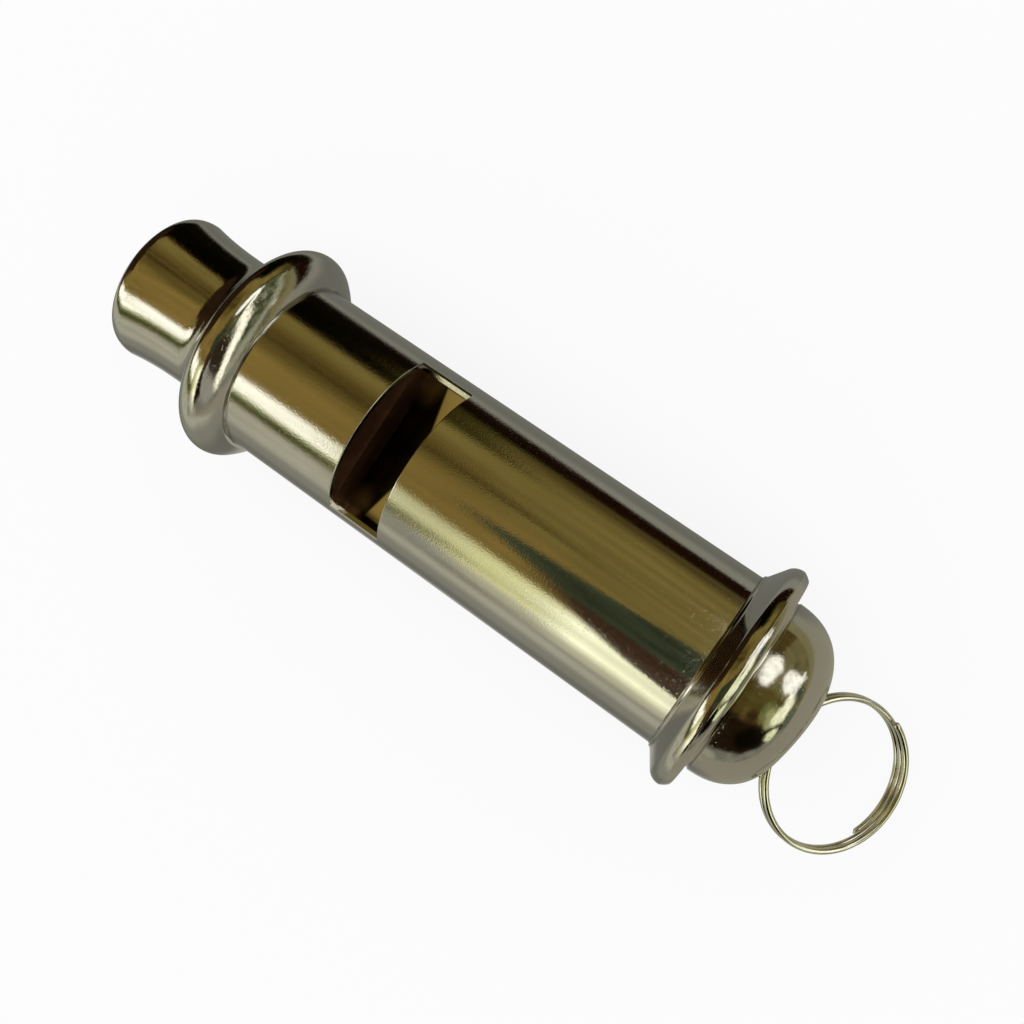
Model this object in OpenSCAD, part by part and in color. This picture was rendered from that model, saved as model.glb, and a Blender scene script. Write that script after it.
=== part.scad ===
// Round two-tone sports whistle in nickel-plated brass: a tube with two sound windows, a turned
// mouthpiece with a bead, a domed end cap with a brim, and a split ring for a lanyard.
// Frame: the origin is the middle of the mouth opening, +X runs along the axis to the dome and
// +Z points out of the upper window. Lengths are in millimetres, angles in degrees.

/* [Body tube] */
// Outer diameter of the tube
tube_d = 18; // [16:0.5:20]
// Wall of the tube
tube_wall = 0.55; // [0.45:0.05:0.7]
// Length of the tube
tube_l = 55.8; // [50:0.2:70]
// Length of each sound window along the tube
window_l = 5.7; // [4:0.1:8]
// Height above the axis at which a window is cut
window_h = 4.15; // [3.5:0.05:5]

/* [Mouthpiece] */
// Distance from the rim to the shoulder that the tube seats on
mouth_l = 12.6; // [12.4:0.1:14]
// Outer diameter of the flared lip
lip_d = 15.8; // [15:0.1:16.2]
// Rounding of the lip's outer edge
lip_edge_r = 0.45; // [0.2:0.05:0.6]
// Diameter of the bore that is blown into
mouth_bore_d = 13.2; // [12:0.1:13.4]
// Length of the straight bore
mouth_bore_l = 9; // [7:0.1:10]
// Outer diameter at the narrowest place of the barrel
waist_d = 14.7; // [14.3:0.02:14.9]
// Distance from the rim to the narrowest place
waist_x = 8.6; // [7:0.1:8.8]
// Radius of the hollow curve between the barrel and the bead
cove_r = 3.3; // [2.8:0.1:3.4]
// Diameter over the bead
bead_d = 23.1; // [22:0.1:25]
// Radius of the bead's rounding
bead_r = 1.75; // [1.5:0.05:2]
// Distance from the seat of the tube to the middle of the bead
bead_x = 1.1; // [0.9:0.1:1.6]
// Length of the socket that holds the tube
skirt_l = 3.75; // [3.2:0.05:5]
// Wall of the socket at its open end
skirt_wall = 0.42; // [0.3:0.02:0.6]

/* [Inside the tube] */
// Distance from the tube's end to the windway plug
plug_inset = 0.6; // [0.2:0.1:4]
// Length of the windway plug
plug_l = 16.1; // [10:0.1:20]
// Height of the plug's flats above and below the axis, the floor of each windway
plug_flat_h = 4.4; // [4.1:0.05:5.5]
// Thickness of the plate between the two chambers
divider_t = 0.6; // [0.4:0.05:1]
// Length of the lower, shorter chamber, measured from the window
short_chamber_l = 26; // [14:0.5:32]
// Thickness of the half-round stop that ends the lower chamber
stop_t = 0.8; // [0.5:0.1:1.5]
// Thickness of the disc that closes the tube
end_plate_t = 0.6; // [0.4:0.05:1]
// Distance from the disc to the tube's end
end_plate_inset = 0.5; // [0.2:0.1:1.5]

/* [End cap] */
// Depth of the socket that holds the tube
cap_socket_l = 2.5; // [2:0.1:3.5]
// Wall of the cap at its open end
cap_skirt_wall = 0.25; // [0.15:0.05:0.4]
// Diameter over the brim
brim_d = 23.1; // [21:0.1:25]
// Radius of the brim's rounded edge
brim_edge_r = 0.9; // [0.5:0.05:1]
// Distance from the cap's open end to the middle of the brim's edge
brim_x = 2.6; // [2.3:0.1:3.2]
// Radius of the hollow corner between the brim and the dome
brim_foot_r = 0.4; // [0.2:0.05:0.5]
// Distance from the cap's socket floor to the middle of the dome's outline
dome_x = 1; // [0.6:0.1:1.4]
// Diameter of the dome
dome_d = 17.9; // [16:0.1:19]
// Height of the dome before its tip is flattened
dome_h = 6.95; // [6.8:0.05:9]
// Fullness of the dome's shoulder, where 2 is an ellipse and more is squarer
dome_fullness = 2.4; // [2:0.1:3]
// Wall of the dome
cap_wall = 0.45; // [0.4:0.05:0.6]
// Distance from the middle of the dome's outline to its flattened tip
tip_h = 6.65; // [6:0.05:6.75]
// Lean of the flattened tip towards -Y
tip_lean = 7; // [0:1:10]
// Turn of the pair of ring holes about the axis of the tip
tip_turn = 11.5; // [0:0.5:30]

/* [Split ring] */
// Outer diameter of the ring
ring_d = 15.1; // [14:0.1:20]
// Diameter of its wire
ring_wire_d = 0.6; // [0.4:0.05:0.8]
// Free gap from one turn to the next
ring_gap = 0.42; // [0.41:0.01:0.6]
// Number of turns
ring_turns = 2.29; // [2:0.01:2.6]
// Depth of the ring's swing axis under the flattened tip
hinge_depth = 1.1; // [1:0.05:1.3]
// Distance from the swing axis to the middle of the ring
ring_reach = 7.2; // [6.9:0.05:7.3]
// Angle below the axis at which the ring hangs at rest
ring_hang = 32; // [0:1:34]
// Diameter of the two ring holes in the dome
ring_hole_d = 3.6; // [3.5:0.05:4]
// Angle between a ring hole and the axis of the tip
ring_hole_lean = 52; // [45:1:60]
// Distance from a ring hole's centre line to the middle of the tip
ring_hole_off = 2.9; // [2.6:0.05:3.2]

/* [Joints] */
// Radial gap between parts that are soldered into each other
solder_gap = 0.03; // [0.02:0.01:0.06]
// Height of the solder fillet at the mouthpiece
mouth_fillet_h = 0.3; // [0.2:0.02:0.4]
// Length of the solder fillet at the mouthpiece
mouth_fillet_l = 0.45; // [0.3:0.05:1.5]
// Height of the solder fillet at the end cap
cap_fillet_h = 0.2; // [0.1:0.01:0.22]
// Length of the solder fillet at the end cap
cap_fillet_l = 0.4; // [0.2:0.05:0.8]

/* [Hidden] */
$fn = 96;

// Overrun that every cut reaches past the solid it cuts
cut = 1;

nickel = "#c9c4b4";
brass = "#a98a4a";
solder_grey = "#b8b8b0";
steel = "#cfcdc4";

tube_r = tube_d / 2;
tube_in_r = tube_r - tube_wall;
insert_r = tube_in_r - solder_gap;
socket_r = tube_r + solder_gap;

// Places along the axis, from the rim of the mouth
tube_x0 = mouth_l;
tube_x1 = tube_x0 + tube_l;
plug_x0 = tube_x0 + plug_inset;
window_x0 = plug_x0 + plug_l;
window_x1 = window_x0 + window_l;
stop_x0 = window_x0 + short_chamber_l;
end_plate_x0 = tube_x1 - end_plate_inset - end_plate_t;
skirt_x1 = tube_x0 + skirt_l;
bead_cx = tube_x0 + bead_x;
cap_x0 = tube_x1 - cap_socket_l;
brim_cx = cap_x0 + brim_x;
dome_cx = tube_x1 + dome_x;

// Radii of the outline
lip_r = lip_d / 2;
waist_r = waist_d / 2;
mouth_bore_r = mouth_bore_d / 2;
bead_cr = bead_d / 2 - bead_r;
skirt_r = socket_r + skirt_wall;
cap_skirt_r = socket_r + cap_skirt_wall;
brim_cr = brim_d / 2 - brim_edge_r;
dome_r = dome_d / 2;

// Middle of the hollow corner, whose round ends on the dome
foot_cx = brim_cx + brim_edge_r + brim_foot_r;
foot_angle = asin(pow(max(0, foot_cx - dome_cx) / dome_h, dome_fullness / 2));
foot_cr = dome_r * pow(cos(foot_angle), 2 / dome_fullness) + brim_foot_r;

// Split ring
ring_wire_r = ring_wire_d / 2;
ring_mean_r = ring_d / 2 - ring_wire_r;
ring_pitch = ring_wire_d + ring_gap;
// Places and sides of the wire: rings of points for each turn, and corners round the wire
ring_steps = 24;
ring_sides = 6;
// Angle of the upper end of the wire, from the line that points away from the dome
ring_end_angle = 84;
// Part of a turn from the upper end to the middle of the two turns that pass through the dome
ring_mid_share = (ring_end_angle + 180) / 360 + 1 / 2;

// Points of an arc in the plane of the outline, from angle a0 to angle a1
function arc(cx, cr, r, a0, a1, n) =
    [for (i = [0 : n]) let (a = a0 + (a1 - a0) * i / n) [cx + r * cos(a), cr + r * sin(a)]];

// The barrel flares from its waist to the lip as the square of the distance from the waist
function barrel_r(x) = waist_r + (lip_r - waist_r) * pow((waist_x - x) / (waist_x - lip_edge_r), 2);

// A quarter of the dome's outline, a full-shouldered ellipse about the axis, taken inwards by the wall
function dome_outline(wall, a0, n) =
    [for (i = [0 : n]) let (a = a0 + (90 - a0) * i / n)
        [dome_cx + (dome_h - wall) * pow(sin(a), 2 / dome_fullness),
         (dome_r - wall) * pow(cos(a), 2 / dome_fullness)]];

// Turns an outline of [x, radius] points about the X axis
module turned(points) {
    rotate([90, 0, 90])
        rotate_extrude()
            polygon([for (p = points) [p[1], p[0]]]);
}

// A cylinder along the X axis
module rod(x0, x1, r) {
    translate([x0, 0, 0])
        rotate([0, 90, 0])
            cylinder(h = x1 - x0, r = r);
}

// Moves to the middle of the flattened tip, with X straight out of the flat and Y from hole to hole
module at_tip() {
    translate([dome_cx, 0, 0])
        rotate([0, 0, -tip_lean])
            translate([tip_h, 0, 0])
                rotate([-tip_turn, 0, 0])
                    children();
}

// Everything that lies further out than the flattened tip, less a depth
module past_tip(depth) {
    at_tip()
        translate([-depth, -dome_d, -dome_d])
            cube([dome_h, 2 * dome_d, 2 * dome_d]);
}

// Turned mouthpiece: flared barrel, hollow curve, bead, and the socket for the tube
module mouthpiece() {
    barrel_steps = 10;
    cove_start = -84;
    cove_end = -25;
    bead_start = 215;
    bead_end = 48;
    cove_cr = waist_r + cove_r;
    cove_end_r = cove_cr + cove_r * sin(cove_end);
    throat_r = tube_in_r - tube_wall / 3;
    barrel = concat(
        arc(lip_edge_r, lip_r - lip_edge_r, lip_edge_r, 180, 90, 6),
        [for (i = [1 : barrel_steps]) let (x = lip_edge_r + (waist_x - lip_edge_r) * i / barrel_steps)
            [x, barrel_r(x)]],
        arc(waist_x, cove_cr, cove_r, cove_start, cove_end, 10),
        [[bead_cx, cove_end_r], [skirt_x1, skirt_r], [skirt_x1, 0], [0, 0]]);
    bead = concat(
        arc(bead_cx, bead_cr, bead_r, bead_start, bead_end, 22),
        [[skirt_x1, skirt_r], [skirt_x1, 0], [bead_cx + bead_r * cos(bead_start), 0]]);
    inside = [
        [-cut, 0],
        [skirt_x1 + cut, 0],
        [skirt_x1 + cut, socket_r],
        [tube_x0, socket_r],
        [tube_x0, throat_r],
        [mouth_bore_l, mouth_bore_r],
        [-cut, mouth_bore_r]];
    color(nickel)
        difference() {
            union() {
                turned(barrel);
                turned(bead);
            }
            turned(inside);
        }
}

// Drawn tube with a window cut flat through its upper and its lower side
module body_tube() {
    color(nickel)
        difference() {
            rod(tube_x0, tube_x1, tube_r);
            rod(tube_x0 - cut, tube_x1 + cut, tube_in_r);
            for (side = [0, 1])
                mirror([0, 0, side])
                    translate([window_x0, -tube_r - cut, window_h])
                        cube([window_l, tube_d + 2 * cut, tube_r]);
        }
}

// Round plug with two flats: each flat and the tube above it make a windway
module windway_plug() {
    color(brass)
        intersection() {
            rod(plug_x0, window_x0, insert_r);
            translate([plug_x0 - cut, -tube_r, -plug_flat_h])
                cube([plug_l + 2 * cut, tube_d, 2 * plug_flat_h]);
        }
}

// Flat plate along the axis that keeps the two chambers apart
module chamber_divider() {
    half_w = sqrt(pow(insert_r, 2) - pow(divider_t / 2, 2));
    color(brass)
        translate([window_x0, -half_w, -divider_t / 2])
            cube([end_plate_x0 - window_x0, 2 * half_w, divider_t]);
}

// Half-round stop in the lower chamber, which makes it the higher tone
module chamber_stop() {
    color(brass)
        difference() {
            rod(stop_x0, stop_x0 + stop_t, insert_r);
            translate([stop_x0 - cut, -tube_r, -divider_t / 2])
                cube([stop_t + 2 * cut, tube_d, tube_d]);
        }
}

// Disc that closes the tube behind the chambers
module end_plate() {
    color(brass)
        rod(end_plate_x0, end_plate_x0 + end_plate_t, insert_r);
}

// End cap: flared brim and hollow dome, with its tip pressed flat and drilled for the ring
module end_cap() {
    brim_start = 135;
    foot_stop = 252;
    dome_steps = 24;
    outer = concat(
        [[cap_x0, cap_skirt_r], [cap_x0 + cap_skirt_wall, cap_skirt_r]],
        arc(brim_cx, brim_cr, brim_edge_r, brim_start, 0, 10),
        arc(foot_cx, foot_cr, brim_foot_r, 180, foot_stop, 4),
        dome_outline(0, foot_angle, dome_steps));
    cavity = concat(
        dome_outline(cap_wall, 0, dome_steps),
        [[tube_x1 - cut, 0], [tube_x1 - cut, dome_r - cap_wall]]);
    color(nickel)
        difference() {
            turned(concat(outer, [[cap_x0, 0]]));
            rod(cap_x0 - cut, tube_x1, socket_r);
            past_tip(0);
            difference() {
                turned(cavity);
                past_tip(cap_wall);
            }
            for (side = [0, 1])
                at_tip()
                    mirror([0, side, 0])
                        rotate([0, 0, ring_hole_lean])
                            translate([0, ring_hole_off, 0])
                                rod(-cap_wall - tip_h / 2, tip_h, ring_hole_d / 2);
        }
}

// Solder between the mouthpiece's socket and the tube
module mouth_solder() {
    color(solder_grey)
        turned([
            [skirt_x1, tube_r],
            [skirt_x1 + mouth_fillet_l, tube_r],
            [skirt_x1, tube_r + mouth_fillet_h]]);
}

// Solder between the tube and the end cap
module cap_solder() {
    color(solder_grey)
        turned([
            [cap_x0, tube_r],
            [cap_x0, tube_r + cap_fillet_h],
            [cap_x0 - cap_fillet_l, tube_r]]);
}

// Middle of the wire at step i, with the ring's own axis along Z
function ring_place(i) =
    let (turn = i / ring_steps, a = ring_end_angle - 360 * turn)
    [ring_mean_r * cos(a), ring_mean_r * sin(a), ring_pitch * (ring_mid_share - turn)];

// Corner j of the wire at step i
function ring_corner(i, j) =
    let (turn = i / ring_steps, a = ring_end_angle - 360 * turn, b = 360 * j / ring_sides,
         r = ring_mean_r + ring_wire_r * cos(b))
    [r * cos(a), r * sin(a), ring_pitch * (ring_mid_share - turn) + ring_wire_r * sin(b)];

ring_n = round(ring_turns * ring_steps);

// Least free gap of the wire to itself, measured between the middles of places a half turn or more apart
ring_least_gap = min([for (i = [0 : ring_n]) for (j = [i + ring_steps / 2 : ring_n])
    norm(ring_place(i) - ring_place(j))]) - ring_wire_d;
echo(least_gap_of_the_ring_to_itself = ring_least_gap);

// Split ring: one unbroken wire wound for two turns and a bit
module split_ring() {
    points = [for (i = [0 : ring_n]) for (j = [0 : ring_sides - 1]) ring_corner(i, j)];
    last = ring_n * ring_sides;
    sides = [for (i = [0 : ring_n - 1]) for (j = [0 : ring_sides - 1])
        let (a = i * ring_sides + j, b = i * ring_sides + (j + 1) % ring_sides)
        each [[a, b + ring_sides, b], [a, a + ring_sides, b + ring_sides]]];
    ends = concat(
        [for (j = [1 : ring_sides - 2]) [0, j, j + 1]],
        [for (j = [1 : ring_sides - 2]) [last, last + j + 1, last + j]]);
    color(steel)
        at_tip()
            translate([-hinge_depth, 0, 0])
                rotate([0, ring_hang, 0])
                    translate([ring_reach, 0, 0])
                        polyhedron(points, concat(sides, ends));
}

mouthpiece();
body_tube();
windway_plug();
chamber_divider();
chamber_stop();
end_plate();
end_cap();
mouth_solder();
cap_solder();
split_ring();
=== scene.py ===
# %% [markdown]
# # A tube whistle in polished nickel
# The real whistle is a drawn brass tube with two windows, a turned mouthpiece, a domed
# end cap and a split ring, soldered together and nickel plated. This lesson dresses the
# measured model: every shiny skin is worked out again as a smooth numpy surface, because
# a mirror finish shows each flat of a coarse mesh. Shapes are written in millimetres, and
# MM turns them into the metres that Blender works in.

import math

import bmesh
import bpy
import numpy as np
from mathutils import Matrix


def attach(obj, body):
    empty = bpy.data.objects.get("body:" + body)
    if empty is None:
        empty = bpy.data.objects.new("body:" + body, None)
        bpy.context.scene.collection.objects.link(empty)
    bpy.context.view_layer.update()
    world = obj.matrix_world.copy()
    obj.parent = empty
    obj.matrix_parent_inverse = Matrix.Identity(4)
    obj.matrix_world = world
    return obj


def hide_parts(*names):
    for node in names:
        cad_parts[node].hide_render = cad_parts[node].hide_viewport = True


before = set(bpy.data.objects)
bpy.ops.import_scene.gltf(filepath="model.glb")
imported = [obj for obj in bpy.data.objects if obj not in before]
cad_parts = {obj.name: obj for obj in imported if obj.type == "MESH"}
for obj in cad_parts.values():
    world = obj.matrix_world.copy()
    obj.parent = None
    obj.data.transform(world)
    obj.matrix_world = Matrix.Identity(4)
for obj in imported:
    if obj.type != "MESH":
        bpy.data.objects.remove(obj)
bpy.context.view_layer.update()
MM = 0.001
PER_MM = 1000

# %% Sizes that several pieces share
TUBE_R, TUBE_X0, TUBE_X1 = 9.0, 12.6, 68.4
SOLDER_GAP = 0.03
SOCKET_R = TUBE_R + SOLDER_GAP
print("tube from", TUBE_X0, "to", TUBE_X1, "mm, radius", TUBE_R)

# %% [markdown]
# ## Camera
# The camera comes first, because every later choice is judged through it. It could be
# placed by eye, but a shiny thing shows other reflections from each place. So its place
# and turn were worked out from the outline of the whistle in the photograph.

# %% Camera
LENS_MM, SENSOR_MM = 38.672, 36.0
CAMERA_AT = np.array([65.5157, 8.8601, 101.2716]) * MM
CAMERA_RIGHT = (0.80298085, 0.5544769, -0.21857975)
CAMERA_UP = (-0.55663256, 0.82876699, 0.05749329)
CAMERA_BACK = (0.21303039, 0.07550259, 0.97412392)
NEAREST, FARTHEST = 0.005, 10.0

camera_data = bpy.data.cameras.new("camera")
camera_data.lens = LENS_MM
camera_data.sensor_width = SENSOR_MM
camera_data.clip_start = NEAREST
camera_data.clip_end = FARTHEST
camera = bpy.data.objects.new("camera", camera_data)
bpy.context.scene.collection.objects.link(camera)
camera_matrix = np.eye(4)
camera_matrix[:3, :3] = np.stack([CAMERA_RIGHT, CAMERA_UP, CAMERA_BACK], 1)
camera_matrix[:3, 3] = CAMERA_AT
camera.matrix_world = Matrix(camera_matrix)
bpy.context.scene.camera = camera
bpy.context.scene.view_settings.view_transform = "Standard"
print("camera at", np.round(CAMERA_AT, 4))

# %% [markdown]
# ## Surfaces from two numbers
# Every skin here is a grid: one number runs along the whistle, the other round it. Such a
# skin could also be modelled by hand, but then a bead would show its facets. The helpers
# turn grids into meshes. A wall has an outer and an inner grid, and where cells are left
# out, as at a window or a hole, the two grids are joined along the rim.

# %% Helpers for grids
def grid_faces(rows, columns, wrap_rows=False, wrap_columns=True):
    """Cell (i, j) has the corners (i, j), (i+1, j), (i+1, j+1) and (i, j+1).

    A wrapped direction ends where it starts.
    """
    cell_rows = rows if wrap_rows else rows - 1
    cell_columns = columns if wrap_columns else columns - 1
    i, j = np.meshgrid(np.arange(cell_rows), np.arange(cell_columns), indexing="ij")
    down = (i + 1) % rows
    side = (j + 1) % columns
    corners = [i * columns + j, down * columns + j, down * columns + side, i * columns + side]
    return np.stack(corners, -1)


def turned_points(x, r, angles):
    """A point at x and radius r, turned from +Z towards +Y: (x, r sin(angle), r cos(angle)).

    x and r hold a row for each step along the axis, and the angles run across.
    """
    sideways = r * np.sin(angles)
    upward = r * np.cos(angles)
    return np.stack(np.broadcast_arrays(x, sideways, upward), -1)


def arc(middle_x, middle_r, radius, start, stop, count):
    """Points (x, r) on a circle about the middle, the angle counted from +x to larger r."""
    a = np.radians(np.linspace(start, stop, count))
    return np.stack([middle_x + radius * np.cos(a), middle_r + radius * np.sin(a)], -1)


def line(x0, r0, x1, r1, count):
    """Points (x, r) of a straight line, both ends included."""
    t = np.linspace(0, 1, count)[:, None]
    return np.array([[x0, r0]]) * (1 - t) + np.array([[x1, r1]]) * t


# %% Helpers for meshes
SAME_PLACE, NO_LENGTH = 1e-7, 1e-8


def mesh_object(name, points, faces, sharp=35.0):
    """Puts points and faces into a mesh, without unused points or two in one place.

    Edges that bend by more than the sharp angle stay sharp, and all others are smoothed.
    """
    points = np.asarray(points, float).reshape(-1, 3)
    faces = np.asarray(faces).reshape(-1, faces.shape[-1])
    used, new_number = np.unique(faces, return_inverse=True)
    mesh = bpy.data.meshes.new(name)
    mesh.from_pydata(points[used], [], new_number.reshape(faces.shape))
    work = bmesh.new()
    work.from_mesh(mesh)
    bmesh.ops.remove_doubles(work, verts=work.verts, dist=SAME_PLACE)
    bmesh.ops.dissolve_degenerate(work, edges=work.edges, dist=NO_LENGTH)
    work.to_mesh(mesh)
    work.free()
    mesh.shade_smooth()
    mesh.set_sharp_from_angle(angle=math.radians(sharp))
    made = bpy.data.objects.new(name, mesh)
    bpy.context.scene.collection.objects.link(made)
    print(name, len(mesh.vertices), "points", len(mesh.polygons), "faces")
    return made


def wall_object(name, outer, inner, keep, sharp):
    """An outer skin, an inner skin turned round, and a rim round every cell that isn't kept.

    An edge is on the rim when no kept cell uses it in the other direction.
    """
    rows, columns = outer.shape[:2]
    faces = grid_faces(rows, columns).reshape(-1, 4)[keep.ravel()]
    count = rows * columns
    start = faces.ravel()
    end = np.roll(faces, -1, axis=1).ravel()
    rim = ~np.isin(start * count + end, end * count + start)
    sides = np.stack([end[rim], start[rim], start[rim] + count, end[rim] + count], -1)
    points = np.concatenate([outer.reshape(-1, 3), inner.reshape(-1, 3)])
    inner_faces = faces[:, ::-1] + count
    return mesh_object(name, points, np.concatenate([faces, inner_faces, sides]), sharp)


def mesh_box(thing):
    """The lowest and the highest corner of a mesh, in millimetres."""
    places = np.empty(3 * len(thing.data.vertices))
    thing.data.vertices.foreach_get("co", places)
    places = places.reshape(-1, 3) / MM
    return np.stack([places.min(0), places.max(0)])


def print_difference(made, node):
    """How far the new skin's box lies from the measured piece's box."""
    change = mesh_box(made) - mesh_box(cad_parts[node])
    print(made.name, "against", node, "in mm:", np.round(change, 2).tolist())


# %% [markdown]
# ## Shader sums
# A material is a sum of masks and colours. It could be built by hand in the node editor,
# but a long sum is easier to read as a line of Python. The small class below lets a
# socket be added or multiplied like a number, and each sum adds its Math node.

# %% Helper for sums of sockets
class Wire:
    """An output socket that can be used in sums."""

    def __init__(self, graph, socket):
        self.graph = graph
        self.socket = socket

    def __add__(self, other):
        return self.graph.maths("ADD", self, other)

    def __radd__(self, other):
        return self.graph.maths("ADD", other, self)

    def __sub__(self, other):
        return self.graph.maths("SUBTRACT", self, other)

    def __rsub__(self, other):
        return self.graph.maths("SUBTRACT", other, self)

    def __mul__(self, other):
        return self.graph.maths("MULTIPLY", self, other)

    def __rmul__(self, other):
        return self.graph.maths("MULTIPLY", other, self)

    def __abs__(self):
        return self.graph.maths("ABSOLUTE", self)


# %% Helper for nodes
class Graph:
    """The nodes of one material or of the world."""

    def __init__(self, tree):
        self.tree = tree
        tree.nodes.clear()

    def feed(self, socket, value):
        """Links a wire to a socket, or writes a value into it."""
        if isinstance(value, Wire):
            self.tree.links.new(value.socket, socket)
        elif isinstance(value, (tuple, list)) and socket.type == "RGBA":
            socket.default_value = (*value[:3], 1.0)
        else:
            socket.default_value = value

    def node(self, kind, settings=None, sockets=None, out=0):
        """Makes one node: its settings first, then its sockets, by name or number."""
        made = self.tree.nodes.new(kind)
        for key, value in (settings or {}).items():
            setattr(made, key, value)
        for key, value in (sockets or {}).items():
            self.feed(made.inputs[key], value)
        return Wire(self, made.outputs[out]) if made.outputs else None

    def maths(self, operation, *values):
        """The Math node of one operation on its values."""
        return self.node("ShaderNodeMath", {"operation": operation}, dict(enumerate(values)))

    def all_outputs(self, wire):
        """Every output of the node that a wire comes from, by name."""
        return {socket.name: Wire(self, socket) for socket in wire.socket.node.outputs}

    def parts(self, vector):
        """The x, y and z of a vector."""
        made = self.node("ShaderNodeSeparateXYZ", None, {0: vector})
        return list(self.all_outputs(made).values())

    def place(self, stretch=(1, 1, 1), shift=(0, 0, 0)):
        """Object coordinates, stretched along each axis and then shifted."""
        where = self.node("ShaderNodeTexCoord", out=3)
        sockets = {"Vector": where, "Location": shift, "Scale": stretch}
        return self.node("ShaderNodeMapping", None, sockets)


# %% Helper for masks and patterns
class Patterns(Graph):
    """A graph that can also mix colours and draw noise."""

    def blend(self, mask, a, b, settings=None):
        """Colour a where the mask is 0, and b where it is 1."""
        settings = {"data_type": "RGBA", **(settings or {})}
        return self.node("ShaderNodeMix", settings, {0: mask, 6: a, 7: b}, out=2)

    def step(self, value, low, high):
        """0 below low, 1 above high, and a smooth rise between."""
        settings = {"interpolation_type": "SMOOTHSTEP"}
        return self.node("ShaderNodeMapRange", settings, {0: value, 1: low, 2: high})

    def band(self, value, low, high, soft):
        """1 between low and high, falling to 0 over a soft edge at both."""
        rise = self.step(value, low - soft, low + soft)
        return rise * (1 - self.step(value, high - soft, high + soft))

    def noise(self, place, scale, detail=2.0):
        """A cloudy grey, finer with a larger scale."""
        sockets = {"Vector": place, "Scale": scale, "Detail": detail, "Roughness": 0.5}
        return self.node("ShaderNodeTexNoise", None, sockets)

    def warp(self, vector, pattern, scale, amount):
        """Moves a vector by a cloudy pattern: vector + 2 * amount * (cloud - 0.5)."""
        sockets = {"Vector": pattern, "Scale": scale, "Detail": 3.0}
        cloud = self.node("ShaderNodeTexNoise", None, sockets, out=1)
        middle = {0: cloud, 1: (0.5, 0.5, 0.5)}
        centred = self.node("ShaderNodeVectorMath", {"operation": "SUBTRACT"}, middle)
        push = {0: centred, 1: (2 * amount,) * 3, 2: vector}
        return self.node("ShaderNodeVectorMath", {"operation": "MULTIPLY_ADD"}, push)

    def mottle(self, colour, noise, low, high):
        """Multiplies a colour by a grey that runs from low to high with a noise."""
        grey = self.blend(self.step(noise, 0.3, 0.7), (low,) * 3, (high,) * 3)
        return self.blend(1.0, colour, grey, {"blend_type": "MULTIPLY"})

    def bump(self, height, distance):
        """A surface direction tilted by a height."""
        sockets = {"Height": height, "Distance": distance, "Strength": 1.0}
        return self.node("ShaderNodeBump", None, sockets)


# %% Helper for surfaces
class Surfaces(Patterns):
    """A graph that can also make whole surfaces and end in one."""

    def plain_rays(self):
        """1 for a ray from the camera, a mirror or glass, and 0 for one that carries light."""
        rays = self.all_outputs(self.node("ShaderNodeLightPath"))
        return rays["Is Camera Ray"] + rays["Is Glossy Ray"] + rays["Is Transmission Ray"]

    def shine(self, colour):
        """A surface that shines in a colour."""
        return self.node("ShaderNodeEmission", None, {"Color": colour})

    def mix_surfaces(self, mask, a, b):
        """Surface a where the mask is 0, and b where it is 1."""
        return self.node("ShaderNodeMixShader", None, {0: mask, 1: a, 2: b})

    def end(self, surface, kind="ShaderNodeOutputMaterial"):
        """The output node that every tree ends in."""
        self.node(kind, None, {"Surface": surface})

    def end_as_metal(self, tint, roughness, normal):
        """Ends a material as bare metal."""
        self.end(self.node("ShaderNodeBsdfPrincipled", None, {
            "Base Color": tint, "Metallic": 1.0, "Roughness": roughness, "Normal": normal}))


def new_material(name):
    """An empty material and its graph."""
    material = bpy.data.materials.new(name)
    material.use_nodes = True
    material.cycles.emission_sampling = "NONE"
    return material, Surfaces(material.node_tree)


# %% [markdown]
# ## Surroundings
# Polished nickel has almost no colour of its own: it shows what stands around it. So the
# studio matters more than the metal. A photographer sets cards and a window round such a
# thing. A picture of a room could do the same, but painted fields can be moved one by
# one. Here one dome round the whistle carries them, with soft edges. Only mirror rays see
# it, so it adds no light to the floor.

# %% Studio dome that only reflections see
DOME_R, DOME_X = 0.300, 0.045
DOME_ROWS, DOME_COLUMNS = 49, 96


def only_reflections(thing):
    """Makes a card that mirror rays see and nothing else does."""
    thing.visible_camera = False
    thing.visible_diffuse = False
    thing.visible_shadow = False
    thing.visible_transmission = False
    thing.visible_volume_scatter = False


around = np.linspace(0, 2 * np.pi, DOME_COLUMNS, endpoint=False)
from_mouth = np.linspace(0, np.pi, DOME_ROWS)[:, None]
dome_x = DOME_X - DOME_R * np.cos(from_mouth)
dome_points = turned_points(dome_x, DOME_R * np.sin(from_mouth), around)
dome = mesh_object("studio_dome", dome_points, grid_faces(DOME_ROWS, DOME_COLUMNS))
only_reflections(dome)

# %% Directions on the dome
dome_material, g = new_material("studio_dome_fields")
way = g.place((1 / DOME_R,) * 3, (-DOME_X / DOME_R, 0, 0))
streaks = g.node("ShaderNodeMapping", None, {"Vector": way, "Scale": (0.22, 1, 1)})
calm = g.warp(way, way, 4.0, 0.022)
ragged = g.warp(g.warp(way, way, 3.0, 0.050), streaks, 13.0, 0.040)
way_x, way_y, way_z = g.parts(ragged)
turn = g.maths("ARCTAN2", way_y, way_z) * (180 / math.pi)
x_mm = way_x * (DOME_R / MM) + DOME_X / MM
print("directions run from -180 to 180 degrees, 0 is up and 90 is +Y")


# %% Helpers that paint the dome
def field(under, colour, turn_from, turn_to, soft, x_from, x_to, x_soft):
    """A soft-edged field between two directions round the axis and two places along it."""
    mask = g.band(turn, turn_from, turn_to, soft) * g.band(x_mm, x_from, x_to, x_soft)
    return g.blend(mask, under, colour)


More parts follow.
